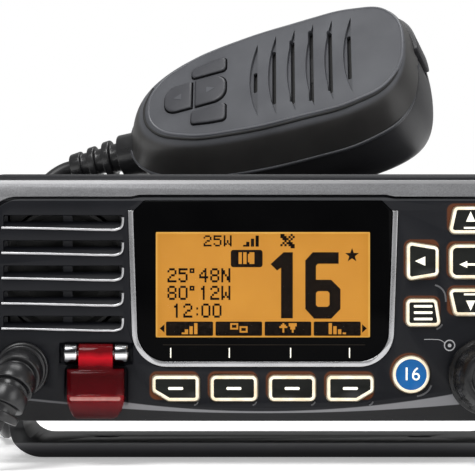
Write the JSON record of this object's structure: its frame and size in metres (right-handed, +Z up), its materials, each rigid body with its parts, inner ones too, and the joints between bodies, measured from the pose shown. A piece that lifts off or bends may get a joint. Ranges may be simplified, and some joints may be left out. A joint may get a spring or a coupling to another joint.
{
  "type": "vhf marine radio",
  "caption": "Fixed-mount marine radio with an amber display, keys, dial and guarded button, on a tilting U bracket with two knobs, and its hand microphone on a coiled cord.",
  "frame": {"origin": "middle of the bracket's foot, on the surface it stands on, straight under the tilt axis", "axes": "+Z up, -Y the way the front panel faces, +X to the right of the person who faces it"},
  "size_m": [0.239, 0.1556, 0.1292],
  "materials": {
    "panel_plastic": "fine matte moulding, nearly black",
    "band_metal": "silver-grey satin paint",
    "bezel_metal": "bright satin",
    "window": "high gloss, smoked",
    "display": "amber backlit",
    "key_rubber": "satin, with a pale lit rim",
    "key_blue": "satin, with a pale lit rim",
    "silicone": "translucent grey",
    "board": "green solder resist",
    "speaker_parts": "black cone and basket",
    "inner_plastic": "matte black",
    "cast_case": "black powder coat over a casting",
    "bracket_plastic": "fine matte moulding",
    "soft_rubber": "matte black",
    "steel": "plain",
    "plated": "bright nickel plate",
    "gasket_rubber": "closed cell",
    "module": "black",
    "red_button": "bright red",
    "red_cover": "see-through dark red",
    "dial_plastic": "satin black",
    "mic_plastic": "fine matte moulding, dark grey",
    "mic_back_plastic": "fine matte moulding, nearly black",
    "mic_keys": "satin dark grey",
    "cord_rubber": "satin black"
  },
  "bodies": {
    "bracket": {"mounting_bracket": "bracket_plastic", "friction_pads": "soft_rubber", "cord_curl": "cord_rubber"},
    "radio": {"chassis": "cast_case", "chassis_lid": "cast_case", "case_screws": "steel", "front_panel": "panel_plastic", "top_band": "band_metal", "window_bezel": "bezel_metal", "window_lens": "window", "display_module": "display", "keypad_mat": "silicone", "front_board": "board", "speaker": "speaker_parts", "back_plate": "inner_plastic", "panel_gasket": "gasket_rubber", "main_board": "board", "power_module": "module", "board_link": "module", "antenna_socket": "plated", "rear_glands": "soft_rubber", "cover_pin": "steel", "cover_bosses": "plated", "dial_encoder": "inner_plastic", "panel_boot": "soft_rubber", "cord_panel_lead": "cord_rubber", "cord_mic_lead": "cord_rubber"},
    "screw_left": {"tilt_screw_left": "steel"},
    "knob_left": {"tilt_knob_left": "soft_rubber"},
    "screw_right": {"tilt_screw_right": "steel"},
    "knob_right": {"tilt_knob_right": "soft_rubber"},
    "body_soft_key_1": {"soft_key_1": "key_rubber"},
    "body_soft_key_2": {"soft_key_2": "key_rubber"},
    "body_soft_key_3": {"soft_key_3": "key_rubber"},
    "body_soft_key_4": {"soft_key_4": "key_rubber"},
    "body_key_enter": {"key_enter": "key_rubber"},
    "body_key_up": {"key_up": "key_rubber"},
    "body_key_down": {"key_down": "key_rubber"},
    "body_key_left": {"key_left": "key_rubber"},
    "body_key_right": {"key_right": "key_rubber"},
    "body_key_menu": {"key_menu": "key_rubber"},
    "body_key_clear": {"key_clear": "key_rubber"},
    "body_key_round": {"key_round": "key_blue"},
    "body_distress_button": {"distress_button": "red_button"},
    "cover": {"distress_cover": "red_cover"},
    "dial_wheel": {"dial_rotor": "inner_plastic"},
    "dial": {"dial_knob": "dial_plastic", "dial_shaft": "steel"},
    "microphone": {"mic_front_shell": "mic_plastic", "mic_back_shell": "mic_back_plastic", "hanger_stud": "plated", "mic_screws": "steel", "mic_board": "board", "mic_capsule": "steel", "mic_boot": "soft_rubber"},
    "body_mic_key_top": {"mic_key_top": "mic_keys"},
    "body_mic_key_plus": {"mic_key_plus": "mic_keys"},
    "body_mic_key_minus": {"mic_key_minus": "mic_keys"},
    "body_mic_key_bottom": {"mic_key_bottom": "mic_keys"},
    "talk_key": {"ptt_key": "mic_back_plastic"}
  },
  "joints": [
    {"name": "tilt", "type": "hinge", "parent": "bracket", "child": "radio", "pos_m": [0, 0, 0.0436], "axis": [1, 0, 0], "range_deg": [-15, 9]},
    {"name": "screw_travel_left", "type": "slide", "parent": "bracket", "child": "screw_left", "axis": [-1, 0, 0], "range_m": [0, 0.0016]},
    {"name": "knob_turn_left", "type": "hinge", "parent": "screw_left", "child": "knob_left", "pos_m": [-0.075, 0, 0.0436], "axis": [-1, 0, 0], "range_deg": [0, 720.01]},
    {"name": "screw_travel_right", "type": "slide", "parent": "bracket", "child": "screw_right", "axis": [1, 0, 0], "range_m": [0, 0.0016]},
    {"name": "knob_turn_right", "type": "hinge", "parent": "screw_right", "child": "knob_right", "pos_m": [0.075, 0, 0.0436], "axis": [1, 0, 0], "range_deg": [0, 720.01]},
    {"name": "soft_key_1_press", "type": "slide", "parent": "radio", "child": "body_soft_key_1", "axis": [0, 1, 0], "range_m": [0, 0.0006], "stiffness_N_per_m": 2500},
    {"name": "soft_key_2_press", "type": "slide", "parent": "radio", "child": "body_soft_key_2", "axis": [0, 1, 0], "range_m": [0, 0.0006], "stiffness_N_per_m": 2500},
    {"name": "soft_key_3_press", "type": "slide", "parent": "radio", "child": "body_soft_key_3", "axis": [0, 1, 0], "range_m": [0, 0.0006], "stiffness_N_per_m": 2500},
    {"name": "soft_key_4_press", "type": "slide", "parent": "radio", "child": "body_soft_key_4", "axis": [0, 1, 0], "range_m": [0, 0.0006], "stiffness_N_per_m": 2500},
    {"name": "key_enter_press", "type": "slide", "parent": "radio", "child": "body_key_enter", "axis": [0, 1, 0], "range_m": [0, 0.0006], "stiffness_N_per_m": 2500},
    {"name": "key_up_press", "type": "slide", "parent": "radio", "child": "body_key_up", "axis": [0, 1, 0], "range_m": [0, 0.0006], "stiffness_N_per_m": 2500},
    {"name": "key_down_press", "type": "slide", "parent": "radio", "child": "body_key_down", "axis": [0, 1, 0], "range_m": [0, 0.0006], "stiffness_N_per_m": 2500},
    {"name": "key_left_press", "type": "slide", "parent": "radio", "child": "body_key_left", "axis": [0, 1, 0], "range_m": [0, 0.0006], "stiffness_N_per_m": 2500},
    {"name": "key_right_press", "type": "slide", "parent": "radio", "child": "body_key_right", "axis": [0, 1, 0], "range_m": [0, 0.0006], "stiffness_N_per_m": 2500},
    {"name": "key_menu_press", "type": "slide", "parent": "radio", "child": "body_key_menu", "axis": [0, 1, 0], "range_m": [0, 0.0006], "stiffness_N_per_m": 2500},
    {"name": "key_clear_press", "type": "slide", "parent": "radio", "child": "body_key_clear", "axis": [0, 1, 0], "range_m": [0, 0.0006], "stiffness_N_per_m": 2500},
    {"name": "key_round_press", "type": "slide", "parent": "radio", "child": "body_key_round", "axis": [0, 1, 0], "range_m": [0, 0.0006], "stiffness_N_per_m": 2500},
    {"name": "distress_press", "type": "slide", "parent": "radio", "child": "body_distress_button", "axis": [0, 1, 0], "range_m": [0, 0.0007], "stiffness_N_per_m": 2500},
    {"name": "cover_hinge", "type": "hinge", "parent": "radio", "child": "cover", "pos_m": [-0.0447, -0.0517, 0.02995], "axis": [-1, 0, 0], "range_deg": [0, 100], "stiffness_Nm_per_rad": 0.003, "springref_deg": -20.05},
    {"name": "dial_turn", "type": "hinge", "parent": "radio", "child": "dial_wheel", "pos_m": [0.06, -0.0422, 0.0239], "axis": [0, 1, 0], "continuous": true},
    {"name": "dial_push", "type": "slide", "parent": "dial_wheel", "child": "dial", "axis": [0, 1, 0], "range_m": [0, 0.0008], "stiffness_N_per_m": 3000},
    {"name": "mic_lift", "type": "slide", "parent": "radio", "child": "microphone", "axis": [0, 0, 1], "range_m": [0, 0.06]},
    {"name": "mic_key_top_press", "type": "slide", "parent": "microphone", "child": "body_mic_key_top", "axis": [0.3629, 0.7139, -0.5989], "range_m": [0, 0.0005], "stiffness_N_per_m": 2500},
    {"name": "mic_key_plus_press", "type": "slide", "parent": "microphone", "child": "body_mic_key_plus", "axis": [0.3629, 0.7139, -0.5989], "range_m": [0, 0.0005], "stiffness_N_per_m": 2500},
    {"name": "mic_key_minus_press", "type": "slide", "parent": "microphone", "child": "body_mic_key_minus", "axis": [0.3629, 0.7139, -0.5989], "range_m": [0, 0.0005], "stiffness_N_per_m": 2500},
    {"name": "mic_key_bottom_press", "type": "slide", "parent": "microphone", "child": "body_mic_key_bottom", "axis": [0.3629, 0.7139, -0.5989], "range_m": [0, 0.0005], "stiffness_N_per_m": 2500},
    {"name": "talk_press", "type": "slide", "parent": "microphone", "child": "talk_key", "axis": [-0.4659, -0.4179, -0.7799], "range_m": [0, 0.001], "stiffness_N_per_m": 2500}
  ],
  "couplings": [
    {"joint": "knob_turn_left", "follows": "screw_travel_left", "rad_per_m": 7854},
    {"joint": "knob_turn_right", "follows": "screw_travel_right", "rad_per_m": 7854}
  ]
}
